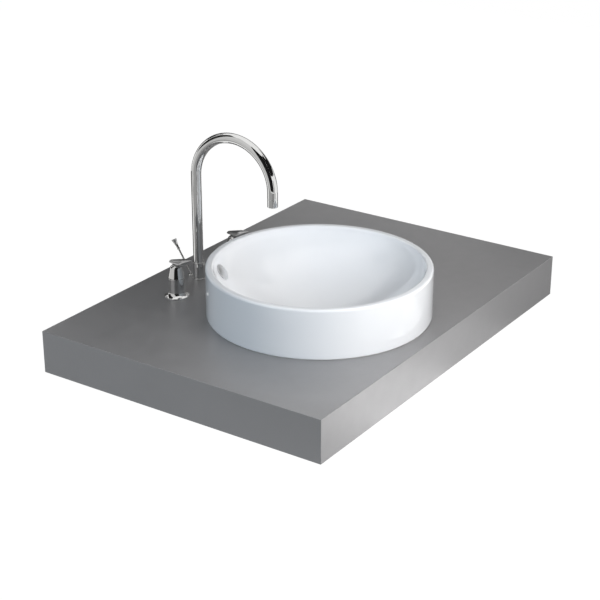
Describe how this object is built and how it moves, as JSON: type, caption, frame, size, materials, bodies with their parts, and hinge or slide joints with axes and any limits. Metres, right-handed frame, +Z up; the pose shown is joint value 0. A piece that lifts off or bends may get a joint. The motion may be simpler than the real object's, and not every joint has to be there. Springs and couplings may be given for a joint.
{
  "type": "countertop basin",
  "caption": "Round glazed basin let into a thick grey counter, with a gooseneck tap, lever handles, pop-up waste and hidden fittings.",
  "frame": {"origin": "on the basin's vertical axis, in the plane of the counter's underside, which is the centre of the four bracket holes", "axes": "+X along the counter, +Y towards the wall behind it, +Z up"},
  "size_m": [0.944, 0.674, 0.587],
  "materials": {
    "counter": "satin grey engineered stone with a fine metallic fleck",
    "timber": "planed softwood",
    "steel": "plain stainless",
    "glaze": "white gloss glaze",
    "sealant": "translucent white sealant",
    "white_plastic": "moulded white plastic",
    "chrome": "polished chrome plate",
    "brass": "machined brass",
    "rubber": "black rubber",
    "cartridge": "ivory engineering plastic"
  },
  "bodies": {
    "basin_unit": {"counter_top": "counter", "counter_front": "counter", "counter_back": "counter", "counter_left": "counter", "counter_right": "counter", "support_rails": "timber", "rail_screws": "steel", "basin": "glaze", "basin_seal": "sealant", "overflow_insert": "white_plastic", "waste_washer": "white_plastic", "pivot_seat": "white_plastic", "overflow_cover": "chrome", "waste_body": "chrome", "waste_tee": "chrome", "tailpiece": "chrome", "pivot_nut": "chrome", "lift_guide": "chrome", "spout_base_ring": "chrome", "hot_flange": "chrome", "hot_cover": "chrome", "cold_flange": "chrome", "cold_cover": "chrome", "waste_nut": "brass", "spout_shank": "brass", "spout_nut": "brass", "spout_tee": "brass", "supply_tubes": "brass", "hot_valve": "brass", "cold_valve": "brass", "valve_nuts": "brass", "waste_flange_seal": "rubber", "waste_gasket": "rubber", "spout_seals": "rubber", "deck_washers": "rubber", "hot_cartridge": "cartridge", "cold_cartridge": "cartridge"},
    "spout": {"spout_tube": "chrome", "spout_collar": "chrome", "spout_screw": "steel", "aerator_shell": "chrome", "aerator_insert": "white_plastic"},
    "hot_handle": {"hot_spindle": "brass", "hot_hub": "chrome", "hot_lever": "chrome", "hot_screw": "steel"},
    "cold_handle": {"cold_spindle": "brass", "cold_hub": "chrome", "cold_lever": "chrome", "cold_screw": "steel"},
    "lift": {"lift_rod": "chrome", "lift_knob": "chrome", "rod_strap": "steel", "strap_clamp": "brass", "strap_screw": "brass"},
    "rocker": {"pivot_rod": "chrome", "spring_clip": "steel"},
    "plug": {"plug_cap": "chrome", "plug_seal": "rubber", "plug_stem": "white_plastic"}
  },
  "joints": [
    {"name": "spout_swivel", "type": "hinge", "parent": "basin_unit", "child": "spout", "pos_m": [0, 0.314, 0.1], "axis": [0, 0, 1], "range_deg": [-60, 60]},
    {"name": "hot_turn", "type": "hinge", "parent": "basin_unit", "child": "hot_handle", "pos_m": [-0.1016, 0.294, 0.14], "axis": [0, 0, 1], "range_deg": [-90, 0]},
    {"name": "cold_turn", "type": "hinge", "parent": "basin_unit", "child": "cold_handle", "pos_m": [0.1016, 0.294, 0.14], "axis": [0, 0, 1], "range_deg": [0, 90]},
    {"name": "lift_slide", "type": "slide", "parent": "basin_unit", "child": "lift", "axis": [0, 0, 1], "range_m": [0, 0.042]},
    {"name": "rocker_tilt", "type": "hinge", "parent": "basin_unit", "child": "rocker", "pos_m": [0, 0.043, -0.03], "axis": [1, 0, 0], "range_deg": [0, 8.05]},
    {"name": "plug_slide", "type": "slide", "parent": "basin_unit", "child": "plug", "axis": [0, 0, 1], "range_m": [-0.00605, 0]}
  ],
  "couplings": [
    {"joint": "rocker_tilt", "follows": "lift_slide", "rad_per_m": 3.3378},
    {"joint": "plug_slide", "follows": "lift_slide", "ratio": -0.14353}
  ]
}
